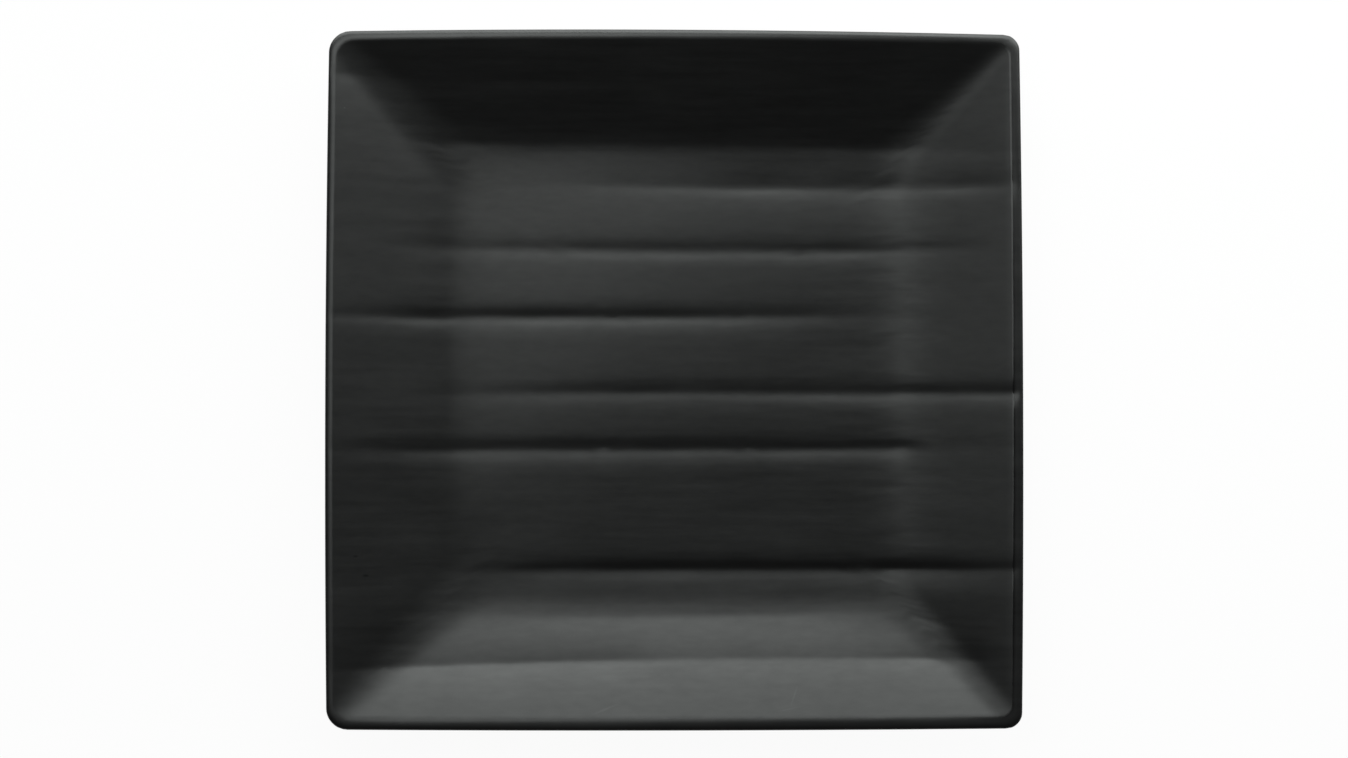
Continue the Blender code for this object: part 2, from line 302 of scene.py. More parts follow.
class PlateStage(bpy.types.PropertyGroup):
    """Floor, light and camera."""

    floor: colour("Floor", (0.80, 0.80, 0.80), "Colour of the floor")
    floor_white: share("Floor white", 0.95, "Share of plain white in what the camera sees of the floor")
    floor_side: length("Floor side", 12.0, "Width of the floor")
    floor_drop: length("Floor drop", 0.1 * MM, "How far the floor lies below the foot ring")
    floor_rough: share("Floor roughness", 0.9, "Roughness of the floor")
    room: share("Room light", 0.0737, "Level of the light from all round")
    lamp: colour("Lamp colour", (0.955, 1.0, 0.978), "Colour of the lamps, a faintly green white")
    camera_height: length("Camera height", 1.5, "Height of the camera above the floor")
    camera_left: length("Camera left", 0.06, "How far the camera stands to the left of the plate")
    camera_near: length("Camera near", 0.07, "How far the camera stands to the near side of the plate")
    aim_left: length("Aim left", 0.56 * MM, "How far to the left of the plate's middle the camera points")
    aim_far: length("Aim far", 0.27 * MM, "How far to the far side of the plate's middle the camera points")


class Field:
    """A number in a node tree. Working with it adds the nodes that work it out."""

    def __init__(self, socket):
        self.socket = socket

    def math(self, operation, *others):
        """Field that one Math node makes from this one and the others."""
        node = self.socket.id_data.nodes.new("ShaderNodeMath")
        node.operation = operation
        for value, socket in zip((self, *others), node.inputs):
            feed(value, socket)
        return Field(node.outputs[0])

    def __add__(self, other):
        return self.math("ADD", other)

    def __sub__(self, other):
        return self.math("SUBTRACT", other)

    def __rsub__(self, other):
        return self.math("MULTIPLY_ADD", -1.0, other)

    def __mul__(self, other):
        return self.math("MULTIPLY", other)

    def __truediv__(self, other):
        return self.math("DIVIDE", other)

    def at_least(self, other):
        """The larger of the two."""
        return self.math("MAXIMUM", other)

    def at_most(self, other):
        """The smaller of the two."""
        return self.math("MINIMUM", other)

    def hypot(self, other):
        """Length of the long side of a right triangle on the two."""
        return (self * self).math("MULTIPLY_ADD", 1.0, other * other).math("SQRT")

    def spread(self, low, high, first=0.0, last=1.0, shape="LINEAR"):
        """First up to low, last from high on, and between them in between."""
        node = self.socket.id_data.nodes.new("ShaderNodeMapRange")
        node.interpolation_type = shape
        for value, socket in zip((self, low, high, first, last), node.inputs):
            feed(value, socket)
        return Field(node.outputs[0])


def feed(value, socket):
    """Lead a field, or a plain value, into a socket."""
    if isinstance(value, Field):
        socket.id_data.links.new(value.socket, socket)
    else:
        socket.default_value = value


def add_node(tree, kind, inputs=None, **settings):
    """New node of a kind, with its settings and its inputs."""
    node = tree.nodes.new(kind)
    for name, value in settings.items():
        setattr(node, name, value)
    for name, value in (inputs or {}).items():
        feed(value, node.inputs[name])
    return node


def open_tree(name, inputs, outputs):
    """New geometry tree whose inputs have the given values as defaults, and the fields of those inputs."""
    kinds = {float: "NodeSocketFloat", int: "NodeSocketInt", bpy.types.Material: "NodeSocketMaterial"}
    tree = bpy.data.node_groups.new(name, "GeometryNodeTree")
    for label, kind in outputs.items():
        tree.interface.new_socket(label, in_out="OUTPUT", socket_type=kind)
    for label, value in inputs.items():
        socket = tree.interface.new_socket(label, in_out="INPUT", socket_type=kinds[type(value)])
        socket.default_value = value
    entry = tree.nodes.new("NodeGroupInput")
    return tree, {label: Field(entry.outputs[label]) for label in inputs}


def wander(tree, place):
    """Field that wanders from minus one half to one half along another, about once for each unit."""
    inputs = {"W": place, "Scale": 1.0, "Detail": 1.0}
    made = add_node(tree, "ShaderNodeTexNoise", inputs, noise_dimensions="1D")
    return Field(made.outputs["Fac"]) - NOISE_MIDDLE


def input_name(field):
    """Name of a tree's input for a field of a groove or a size of the plate."""
    return field.replace("_", " ").capitalize()


def groove_tree():
    """Tree for the depth of one groove at a place on the face."""
    names = ("X", "Y", "Crest", "Waver", *map(input_name, Groove._fields))
    tree, get = open_tree("Groove", {name: 1.0 for name in names}, {"Groove depth": "NodeSocketFloat"})
    along = get["X"] / get["Crest"]
    own = get["Line"] * GROOVES_APART
    line = get["Line"] + get["Tilt"] * along + get["Bow"] * along * along
    line = line + get["Waver"] * wander(tree, get["X"] * LINE_CELLS + own)
    across = get["Y"] - line
    side = across.math("GREATER_THAN", 0.0)
    flank = between(get["Near"], get["Far"], side)
    away = across.hypot(get["Round"]) - get["Round"]
    fade_in = ((get["X"] - get["Start"]) / get["Fade in"]).spread(0.0, 1.0, shape="SMOOTHSTEP")
    fade_out = ((get["End"] - get["X"]) / get["Fade out"]).spread(0.0, 1.0, shape="SMOOTHSTEP")
    uneven = wander(tree, get["X"] * DEPTH_CELLS - own) * DEPTH_UNEVEN + 1.0
    depth = (get["Depth"] + get["Deepen"] * along) * uneven * (away / flank * -1.0).math("EXPONENT")
    depth = depth * fade_in * fade_out
    add_node(tree, "NodeGroupOutput", {"Groove depth": depth})
    return tree


def all_grooves(tree, x, y, crest, waver):
    """Field for the depth of all the grooves together."""
    one = groove_tree()
    total = None
    for groove in GROOVES:
        node = add_node(tree, "GeometryNodeGroup", node_tree=one)
        values = {input_name(field): size * MM for field, size in groove._asdict().items()}
        values.update({"X": x, "Y": y, "Crest": crest, "Waver": waver})
        for name, value in values.items():
            feed(value, node.inputs[name])
        depth = Field(node.outputs["Groove depth"])
        total = total + depth if total else depth
    return total


def streaks(tree, x, y, cells, seed):
    """Field for streaks drawn along X, from minus one half to one half, with these cells to the metre."""
    cell = {"X": x * cells[0], "Y": y * cells[1], "Z": seed * SEED_STEP}
    place = add_node(tree, "ShaderNodeCombineXYZ", cell)
    inputs = {"Scale": 1.0, "Detail": STREAK_DETAIL, "Roughness": FINER_SHARE}
    made = add_node(tree, "ShaderNodeTexNoise", inputs)
    tree.links.new(place.outputs["Vector"], made.inputs["Vector"])
    return Field(made.outputs["Fac"]) - NOISE_MIDDLE


def axis_fields(place, well, slope, lip, bend, shoulder):
    """Along one axis of the grid: the plain distance as far as the shoulder, and the share of the roll."""
    lines = place.math("ABSOLUTE") * (well + slope + lip)
    inner = lines.spread(0.0, well, 0.0, bend)
    outer = (lines - well).spread(0.0, slope, 0.0, shoulder - bend)
    return inner + outer, (lines - well - slope).spread(0.0, lip)


def soft_ramp(run, blend):
    """Rise that is nothing on the floor and one to one up the slope, softly bent. Takes fields or numbers."""
    reach = run.hypot(blend) if isinstance(run, Field) else math.hypot(run, blend)
    return (run + reach) / 2


def between(first, last, part):
    """Value at a part of the way from first to last. Takes fields or numbers."""
    return first + (last - first) * part


def roll_swing(roll, lip):
    """Field for the swing of a lip's roll about its crest, at a share of the roll."""
    return roll * (lip.lean + QUARTER_TURN) - lip.lean


def roll_reach(swing, lip, power):
    """Field for how far out from the shoulder a lip lies, at a swing of its roll."""
    sine = swing.math("SINE")
    outer = lip.width * sine.at_least(0.0).math("POWER", power)
    return outer + lip.shoulder * sine.at_most(0.0) + lip.inset


def roll_level(swing, power):
    """Field for the level of a lip at a swing of its roll: 1 at the crest and 0 at the parting line."""
    cosine = swing.math("COSINE").at_least(0.0)
    outer = cosine.math("POWER", power)
    return cosine + (outer - cosine) * swing.math("GREATER_THAN", 0.0)


def crest_share(swing, lip):
    """Field that is 1 at the crest of a lip, and falls to nothing over its shoulder and as far outside."""
    return swing.math("ABSOLUTE").spread(0.0, lip.lean, 1.0, 0.0)


def shoulder_share(swing, lip):
    """Field that is 1 half way round the shoulder of a lip, and nothing on the slope and past the crest."""
    middle = lip.lean / 2
    return (swing + middle).math("ABSOLUTE").spread(0.0, middle, 1.0, 0.0)


def store_node(tree, name, value, kind):
    """Node that stores a field on the mesh as an attribute."""
    return add_node(tree, "GeometryNodeStoreNamedAttribute", {"Name": name, "Value": value}, data_type=kind)


def read_lip(get, name):
    """Lip with the sizes that a tree's inputs give it."""
    return Lip(*(get[f"{name} lip {size}"] for size in Lip._fields))


def face_tree(values):
    """Tree for the eating face: a grid settled on nested round-cornered loops, dished and grooved."""
    tree, get = open_tree(FACE_TREE, values, {"Mesh": "NodeSocketGeometry"})
    shoulder_x, shoulder_y = get["Shoulder half width"], get["Shoulder half length"]
    wide, long = get["Well half width"], get["Well half length"]
    blend, power = get["Well blend"], get["Lip power"]
    side_lip, end_lip = read_lip(get, "Side"), read_lip(get, "End")

    # Grid lines, and where each axis puts them
    columns = get["Well columns"] + get["Slope columns"] + get["Lip columns"]
    rows = get["Well rows"] + get["Slope rows"] + get["Lip rows"]
    counts = {"Vertices X": columns * 2.0 + 1.0, "Vertices Y": rows * 2.0 + 1.0}
    grid = add_node(tree, "GeometryNodeMeshGrid", {"Size X": 2.0, "Size Y": 2.0, **counts})
    position = add_node(tree, "GeometryNodeInputPosition")
    split = add_node(tree, "ShaderNodeSeparateXYZ")
    tree.links.new(position.outputs["Position"], split.inputs["Vector"])
    place_x, place_y = Field(split.outputs["X"]), Field(split.outputs["Y"])
    side_x, side_y = place_x.math("SIGN"), place_y.math("SIGN")
    zones_x = get["Well columns"], get["Slope columns"], get["Lip columns"]
    zones_y = get["Well rows"], get["Slope rows"], get["Lip rows"]
    plain_x, roll_x = axis_fields(place_x, *zones_x, wide - blend * SLOPE_START, shoulder_x)
    plain_y, roll_y = axis_fields(place_y, *zones_y, long - blend * SLOPE_START, shoulder_y)

    # 0 on the left and right sides, 1 on the far and near ends, and between them about the mitres
    past_mitre = plain_y / shoulder_y - plain_x / shoulder_x
    ends = past_mitre.spread(-MITRE_SHARE, MITRE_SHARE, shape="SMOOTHSTEP")

    # The lip rolls from the shoulder, where it leans in with the slope, over the crest to the upright outline
    plain_x = plain_x + roll_reach(roll_swing(roll_x, side_lip), side_lip, power)
    plain_y = plain_y + roll_reach(roll_swing(roll_y, end_lip), end_lip, power)
    roll = roll_x.at_least(roll_y)
    side_swing, end_swing = roll_swing(roll, side_lip), roll_swing(roll, end_lip)
    out_x, out_y = roll_reach(side_swing, side_lip, power), roll_reach(end_swing, end_lip, power)
    part = out_x / (side_lip.width + side_lip.inset)

    # The loop that each place lies on: depth 0 is the shoulder, 1 the edge of the well, and the lip outside
    depth_x = (shoulder_x - plain_x) / (shoulder_x - wide)
    depth_y = (shoulder_y - plain_y) / (shoulder_y - long)
    depth = depth_x.at_most(depth_y).at_least(0.0)
    dish = depth.at_most(1.0)
    half_x = shoulder_x - (shoulder_x - wide) * depth + out_x
    half_y = shoulder_y - (shoulder_y - long) * depth + out_y
    corner = between(get["Shoulder corner"], get["Well corner"], dish)
    corner = corner + (get["Outline corner"] - get["Shoulder corner"]) * part
    corner = corner * (half_x / wide).at_most(1.0) * (1.0 - get["Corner lean"] * side_x)
    drift = streaks(tree, plain_x * side_x, plain_y * side_y, DRIFT_CELLS, get["Streak seed"])
    near_right = side_x.at_least(0.0) * (side_y * -1.0).at_least(0.0)
    fray = get["Mitre fray"] * (get["Near mitre fray"] * near_right + 1.0)
    corner = corner * (drift * fray * dish + 1.0)
    bow_x = get["Side bow"] * (1.0 - dish)
    bow_y = bow_x * (get["Bow lean"] * side_y + 1.0)

    # Settle the plain square onto the loop's round corners and swollen sides
    core_x, core_y = half_x - corner, half_y - corner
    over_x, over_y = (plain_x - core_x).at_least(0.0), (plain_y - core_y).at_least(0.0)
    pull = corner / over_x.hypot(over_y)
    seat_x, seat_y = plain_x / half_x, plain_y / half_y
    x = plain_x.at_most(core_x) + over_x * pull + bow_x * seat_x * (1.0 - seat_y * seat_y)
    y = plain_y.at_most(core_y) + over_y * pull + bow_y * seat_y * (1.0 - seat_x * seat_x)
    x, y = x * side_x, y * side_y
    inside = (1.0 - part) * (1.0 - dish)
    shift_x = get["Lip waver"] * wander(tree, y * CREST_CELLS + side_x * SIDE_START) - get["Lip left"]
    shift_y = get["Lip waver"] * wander(tree, x * CREST_CELLS + side_y * END_START) + get["Lip far"]
    x = x + shift_x * inside + get["Well right"] * dish
    y = y + shift_y * inside + get["Well far"] * dish

    # Height: the dish, the crown of its floor, the roll of the lip, the grooves and the streaks
    run, drop = get["Slope run"], get["Lip drop"]
    level_in = between(side_lip.lean.math("COSINE"), end_lip.lean.math("COSINE"), ends)
    level = between(roll_level(side_swing, power), roll_level(end_swing, power), ends)
    bend = blend * (get["Side blend"] * (1.0 - ends) + 1.0)
    bend = bend * (drift * get["Well fray"] * (x / shoulder_x + 1.0) + 1.0)
    rise = soft_ramp((1.0 - depth) * run, bend) / soft_ramp(run, bend)
    z = between(get["Floor height"], get["Crest height"] - drop * (1.0 - level_in), rise)
    off_x = ((x - get["Well right"]) / wide).at_least(-1.0).at_most(1.0)
    off_y = ((y - get["Well far"]) / long).at_least(-1.0).at_most(1.0)
    lean = get["Crown far"] * off_y - get["Crown left"] * off_x + 1.0
    z = z + get["Floor crown"] * (1.0 - off_x * off_x) * (1.0 - off_y * off_y) * lean
    z = z - drop * (level_in - level)
    relief = all_grooves(tree, x, y, shoulder_x, get["Groove waver"]) * get["Groove strength"]
    drawn = streaks(tree, x, y, STREAK_CELLS, get["Streak seed"])
    relief = relief + drawn * get["Streak depth"] * (get["Streak lean"] * x / shoulder_x + 1.0)
    z = z - relief * (1.0 - side_swing.math("SINE").at_least(0.0))

    # What is stored on the face, and the way from the grid to the finished sheet
    seat = add_node(tree, "ShaderNodeCombineXYZ", {"X": seat_x * side_x, "Y": seat_y * side_y})
    place = add_node(tree, "ShaderNodeCombineXYZ", {"X": x, "Y": y, "Z": z})
    side_crest, end_crest = crest_share(side_swing, side_lip), crest_share(end_swing, end_lip)
    crest = between(side_crest * get["Side crest"], end_crest, ends)
    buff = between(shoulder_share(side_swing, side_lip) * side_x.at_least(0.0), 0.0, ends)
    stores = (
        store_node(tree, SEAT, Field(seat.outputs["Vector"]), "FLOAT_VECTOR"),
        store_node(tree, CREST, crest, "FLOAT"),
        store_node(tree, BUFF, buff, "FLOAT"),
    )
    settle = add_node(tree, "GeometryNodeSetPosition")
    smooth = add_node(tree, "GeometryNodeSetShadeSmooth")
    realize = add_node(tree, "GeometryNodeRealizeInstances")
    paint = add_node(tree, "GeometryNodeSetMaterial", {"Material": get["Material"]})
    leave = add_node(tree, "NodeGroupOutput")
    tree.links.new(place.outputs["Vector"], settle.inputs["Position"])
    chain = (grid, *stores, settle, smooth, realize, paint, leave)
    for first, second in zip(chain, chain[1:]):
        tree.links.new(first.outputs[0], second.inputs[0])
    return tree


class PlateForm:
    """Loops and heights worked out from the plate's sizes."""

    def __init__(self, sizes):
        self.sizes = sizes
        self.crest_x = sizes.across / 2 - sizes.bow - sizes.lip
        self.crest_y = sizes.deep / 2 - sizes.bow - sizes.lip_end
        self.crest_corner = sizes.corner - sizes.lip / 2
        self.floor = sizes.foot_height + sizes.wall
        self.run = (self.crest_x + self.crest_y) / 2 - (sizes.well_width + sizes.well_length) / 4
        self.layers = sizes.glaze + sizes.bond
        self.turn = self.back_height(-sizes.lip / self.run)
        self.parting = self.turn + sizes.lip_edge + self.layers
        self.drop = sizes.height - self.parting
        self.side_lip = self.lip_shape(sizes.lip, sizes.shoulder)
        self.end_lip = self.lip_shape(sizes.lip_end, sizes.shoulder_end)

    def lip_shape(self, width, shoulder):
        """Lip with a width and a shoulder, which leans in with the top of the slope."""
        lean = math.atan(self.steepness(0) * shoulder / self.drop)
        return Lip(width, shoulder, shoulder * math.sin(lean), lean)

    def steepness(self, depth):
        """Rise of the plain dish for its run, at a depth: 0 is the crest and 1 is the edge of the well."""
        run = (1 - depth) * self.run
        bend = (1 + run / math.hypot(run, self.sizes.blend)) / 2
        return bend * (self.sizes.height - self.floor) / soft_ramp(self.run, self.sizes.blend)

    def back_height(self, depth):
        """Height of the back, one wall below the plain dish and square to it."""
        rise = soft_ramp((1 - depth) * self.run, self.sizes.blend) / soft_ramp(self.run, self.sizes.blend)
        dish = between(self.floor, self.sizes.height, rise)
        return dish - self.sizes.wall * math.hypot(1, self.steepness(depth))

    def lip_loop(self, inset):
        """Loop of the lip, at an inset from the outline."""
        sizes, part = self.sizes, inset / self.sizes.lip
        half_x, half_y = sizes.across / 2 - sizes.bow - inset, sizes.deep / 2 - sizes.bow - inset
        corner = between(sizes.corner, self.crest_corner, part)
        return Loop(half_x, half_y, corner, sizes.bow, -sizes.lip_left * part, sizes.lip_far * part)

    def dish_loop(self, depth):
        """Loop between the crest and the edge of the well."""
        half_x = between(self.crest_x, self.sizes.well_width / 2, depth)
        half_y = between(self.crest_y, self.sizes.well_length / 2, depth)
        corner = between(self.crest_corner, self.sizes.well_corner, depth)
        bow = between(self.sizes.bow, 0, depth)
        shift_x = between(-self.sizes.lip_left, self.sizes.well_right, depth)
        shift_y = between(self.sizes.lip_far, self.sizes.well_far, depth)
        return Loop(half_x, half_y, corner, bow, shift_x, shift_y)

    def foot_loop(self, inset):
        """Loop of the foot ring, at an inset from its outer edge."""
        half_x = self.sizes.well_width / 2 - self.sizes.foot_inset - inset
        half_y = self.sizes.well_length / 2 - self.sizes.foot_inset - inset
        return Loop(
            half_x, half_y, self.sizes.foot_corner - inset, 0, self.sizes.well_right, self.sizes.well_far
        )

    def settle(self, loop, seat):
        """Place on a loop for a seat on its plain square, with rounder corners on the left."""
        x, y = seat.x * loop.half_x, seat.y * loop.half_y
        corner = loop.corner * (1 - math.copysign(self.sizes.corner_lean, x))
        core_x, core_y = loop.half_x - corner, loop.half_y - corner
        over_x, over_y = abs(x) - core_x, abs(y) - core_y
        if over_x > 0 and over_y > 0:
            pull = corner / math.hypot(over_x, over_y)
            x = math.copysign(core_x + over_x * pull, x)
            y = math.copysign(core_y + over_y * pull, y)
        bow_y = loop.bow * (1 + math.copysign(self.sizes.bow_lean, y))
        x += loop.bow * seat.x * (1 - seat.y**2) + loop.shift_x
        y += bow_y * seat.y * (1 - seat.x**2) + loop.shift_y
        return x, y

    def face_values(self, columns, rows, material):
        """Inputs of the face's tree."""
        sizes = self.sizes
        values = {
            "Shoulder half width": self.crest_x - self.side_lip.inset,
            "Shoulder half length": self.crest_y - self.end_lip.inset,
            "Shoulder corner": self.crest_corner,
            "Crest height": sizes.height,
            "Lip power": 2 / sizes.lip_square,
            "Lip drop": self.drop,
            "Outline corner": sizes.corner,
            "Side bow": sizes.bow,
            "Well half width": sizes.well_width / 2,
            "Well half length": sizes.well_length / 2,
            "Well blend": sizes.blend,
            "Side blend": sizes.blend_sides,
            "Well fray": sizes.fray,
            "Slope run": self.run - (self.side_lip.inset + self.end_lip.inset) / 2,
            "Floor height": self.floor,
            "Floor crown": sizes.crown,
            "Groove waver": sizes.waver,
            "Near mitre fray": sizes.mitre_near,
            "Material": material,
        }
        values.update({input_name(name): getattr(sizes, name) for name in PLAIN_SIZES})
        for name, lip in (("Side", self.side_lip), ("End", self.end_lip)):
            values.update({f"{name} lip {size}": value for size, value in lip._asdict().items()})
        for name, lines in (("columns", columns), ("rows", rows)):
            values.update({f"{zone.capitalize()} {name}": count for zone, count in lines._asdict().items()})
        return values

    def back_stations(self):
        """Loops and levels down the back, from the seat of the glaze's edge to the floor inside the foot."""
        sizes = self.sizes
        seat = self.parting - sizes.bond
        under = self.back_height((sizes.undercut - sizes.lip) / self.run)
        stations = [(self.lip_loop(self.layers), seat), (self.lip_loop(0), seat)]
        for step in range(1, UNDER_STEPS + 1):
            part = step / UNDER_STEPS
            level = between(between(seat, self.turn, part), between(self.turn, under, part), part)
            stations.append((self.lip_loop(sizes.undercut * part * part), level))
        for step in range(1, BACK_STEPS + 1):
            depth = step / BACK_STEPS
            stations.append((self.dish_loop(depth), self.back_height(depth)))
        return stations + self.foot_stations()

    def foot_stations(self):
        """Loops and levels round the foot ring, with a cove or a rounding at each of its turns."""
        radius = self.sizes.foot_round
        width, height = self.sizes.foot_width, self.sizes.foot_height
        turns = (
            ((-radius, height - radius), 90, 0),
            ((radius, radius), 180, 270),
            ((width - radius, radius), 270, 360),
            ((width + radius, height - radius), 180, 90),
        )
        stations = []
        for (middle, level), start, end in turns:
            for step in range(FOOT_STEPS + 1):
                angle = math.radians(between(start, end, step / FOOT_STEPS))
                inset = middle + radius * math.cos(angle)
                stations.append((self.foot_loop(inset), level + radius * math.sin(angle)))
        return stations


def face_object(name, values, thickness=0.0):
    """Object with the face as a plain mesh, as a sheet or with a thickness inwards."""
    piece = bpy.data.objects.new(name, bpy.data.meshes.new(name))
    bpy.context.scene.collection.objects.link(piece)
    tree = bpy.data.node_groups.get(FACE_TREE) or face_tree(values)
    nodes = piece.modifiers.new(FACE_TREE, "NODES")
    nodes.node_group = tree
    for item in tree.interface.items_tree:
        if item.in_out == "INPUT":
            nodes[item.identifier] = values[item.name]
    if thickness:
        shell = piece.modifiers.new("Thickness", "SOLIDIFY")
        shell.thickness = thickness
        shell.offset = -1
        shell.use_even_offset = True
    solid = piece.evaluated_get(bpy.context.evaluated_depsgraph_get())
    mesh = bpy.data.meshes.new_from_object(solid)
    mesh.name = name
    piece.modifiers.clear()
    piece.data = mesh
    return piece


def edge_ring(bm, seat):
    """Corners along the edge of the sheet, in order round it."""
    corners = [vert for vert in bm.verts if vert.is_boundary]
    return sorted(corners, key=lambda vert: math.atan2(vert[seat].y, vert[seat].x))


def add_ring(bm, ring, places):
    """Join a ring of corners to new ones at these places, by faces like its own, and return the new ring."""
    like = ring[0].link_faces[0]
    made = [bm.verts.new(place) for place in places]
    for index in range(len(ring)):
        bm.faces.new((ring[index], ring[index - 1], made[index - 1], made[index]), like)
    return made


def finish_piece(piece, node):
    """Smooth a piece, and let it stand for its solid."""
    mesh = piece.data
    mesh.attributes.remove(mesh.attributes[SEAT])
    mesh.shade_smooth()
    mesh.set_sharp_from_angle(angle=SHARP_ANGLE)
    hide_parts(node)
    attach(piece, "root")


def new_material(name):
    """New material, its tree, its shader and its object coordinates."""
    material = bpy.data.materials.new(name)
    material.use_nodes = True
    tree = material.node_tree
    place = add_node(tree, "ShaderNodeTexCoord").outputs["Object"]
    return material, tree, tree.nodes["Principled BSDF"], place


def noise(tree, place, grain):
    """Field of noise with a grain."""
    mapping = add_node(tree, "ShaderNodeMapping", {"Scale": grain.cells})
    inputs = {"Scale": 1.0, "Detail": grain.detail, "Roughness": FINER_SHARE}
    made = add_node(tree, "ShaderNodeTexNoise", inputs)
    tree.links.new(place, mapping.inputs["Vector"])
    tree.links.new(mapping.outputs["Vector"], made.inputs["Vector"])
    return Field(made.outputs["Fac"])


def mixed(tree, amount, first, second):
    """Field of the colour between two colours."""
    node = add_node(tree, "ShaderNodeMix", data_type="RGBA")
    sockets = {socket.identifier: socket for socket in (*node.inputs, *node.outputs)}
    feed(amount, sockets["Factor_Float"])
    feed(first, sockets["A_Color"])
    feed(second, sockets["B_Color"])
    return Field(sockets["Result_Color"])


def marked(tree, place, marks):
    """Field with each mark's strength at its middle, fading to nothing at its edge."""
    total = None
    for mark in marks:
        mapping = add_node(tree, "ShaderNodeMapping", vector_type="TEXTURE")
        mapping.inputs["Location"].default_value = (mark.x * MM, mark.y * MM, 0)
        mapping.inputs["Rotation"].default_value = (0, 0, math.radians(mark.turn))
        mapping.inputs["Scale"].default_value = (mark.length / 2 * MM, mark.width / 2 * MM, 1)
        spot = add_node(tree, "ShaderNodeTexGradient", gradient_type="SPHERICAL")
        tree.links.new(place, mapping.inputs["Vector"])
        tree.links.new(mapping.outputs["Vector"], spot.inputs["Vector"])
        strength = Field(spot.outputs["Fac"]) * mark.strength
        total = total.at_least(strength) if total else strength
    return total


def stored(tree, name):
    """Field of a number that is stored on the mesh."""
    return Field(add_node(tree, "ShaderNodeAttribute", attribute_name=name).outputs["Fac"])


def bumped(tree, height, distance, under=None):
    """Bump node for a field of heights, on top of another bump."""
    node = add_node(tree, "ShaderNodeBump", {"Height": height, "Distance": distance})
    if under:
        tree.links.new(under.outputs["Normal"], node.inputs["Normal"])
    return node


def glaze_material(finish):
    """Satin black glaze with drawn streaks, a faint orange peel, and a few light scuffs and specks."""
    material, tree, shader, place = new_material("satin_black_glaze")
    drawn = noise(tree, place, GLAZE_DRAWN)
    cloud = noise(tree, place, GLAZE_CLOUD)
    mottle = noise(tree, place, GLAZE_MOTTLE)
    peel = noise(tree, place, GLAZE_PEEL)
    scuffs = marked(tree, place, SCUFFS)
    specks = marked(tree, place, SPECKS)
    crest, buff = stored(tree, CREST), stored(tree, BUFF)
    pale = drawn.spread(NOISE_LOW, NOISE_HIGH)
    glaze = mixed(tree, pale, (*finish.glaze_dark, 1), (*finish.glaze_pale, 1))
    feed(mixed(tree, scuffs, glaze, (*finish.scuff, 1)), shader.inputs["Base Color"])
    roughness = (drawn - NOISE_MIDDLE) * finish.drawn_rough + (cloud - NOISE_MIDDLE) * finish.cloud_rough
    roughness = roughness + scuffs * finish.scuff_rough + finish.glaze_gloss
    feed(roughness - crest * finish.crest_polish - buff * finish.buff, shader.inputs["Roughness"])
    shine = (mottle - NOISE_MIDDLE) * finish.mottle + crest * finish.crest_shine + finish.shine
    feed(shine - specks * finish.speck_dull, shader.inputs["Specular IOR Level"])
    streaked = bumped(tree, drawn, finish.drawn_depth)
    peeled = bumped(tree, peel, finish.peel_depth, streaked)
    tree.links.new(peeled.outputs["Normal"], shader.inputs["Normal"])
    return material


def body_material(finish):
    """Plain moulded black melamine: faint clouding, and the fine grain of a blasted mould."""
    material, tree, shader, place = new_material("moulded_black_melamine")
    cloud = noise(tree, place, BODY_CLOUD)
    grain = noise(tree, place, BODY_GRAIN)
    pale = cloud.spread(NOISE_LOW, NOISE_HIGH)
    feed(mixed(tree, pale, (*finish.body_dark, 1), (*finish.body_pale, 1)), shader.inputs["Base Color"])
    clouded = (cloud - NOISE_MIDDLE) * finish.body_cloud_rough
    roughness = clouded + (grain - NOISE_MIDDLE) * finish.body_grain_rough + finish.body_gloss
    feed(roughness, shader.inputs["Roughness"])
    grained = bumped(tree, grain, finish.body_grain_depth)
    tree.links.new(grained.outputs["Normal"], shader.inputs["Normal"])
    return material


def floor_material(stage):
    """Pale floor that takes the plate's shadow, and is mostly plain white where it is seen."""
    material, tree, shader, _ = new_material("pale_floor")
    shader.inputs["Base Color"].default_value = (*stage.floor, 1)
    shader.inputs["Roughness"].default_value = stage.floor_rough
    path = add_node(tree, "ShaderNodeLightPath")
    seen = Field(path.outputs["Is Camera Ray"])
    for ray in ("Is Glossy Ray", "Is Transmission Ray"):
        seen = seen.at_least(Field(path.outputs[ray]))
    white = add_node(tree, "ShaderNodeEmission")
    mix = add_node(tree, "ShaderNodeMixShader", {"Fac": seen * stage.floor_white})
    tree.links.new(shader.outputs["BSDF"], mix.inputs[1])
    tree.links.new(white.outputs["Emission"], mix.inputs[2])
    tree.links.new(mix.outputs["Shader"], tree.nodes["Material Output"].inputs["Surface"])
    return material


class PLATE_OT_glazed_face(bpy.types.Operator):
    """Make the glaze: the grooved eating face, rolled over the rim to the parting line."""

    bl_idname = "plate.glazed_face"
    bl_label = "Glazed Face"

    def execute(self, context):
        sizes = context.scene.plate_sizes
        material = glaze_material(context.scene.plate_finish)
        values = PlateForm(sizes).face_values(GLAZE_COLUMNS, GLAZE_ROWS, material)
        piece = face_object("glazed_face", values, sizes.glaze)
        finish_piece(piece, "face_glaze")
        return {"FINISHED"}


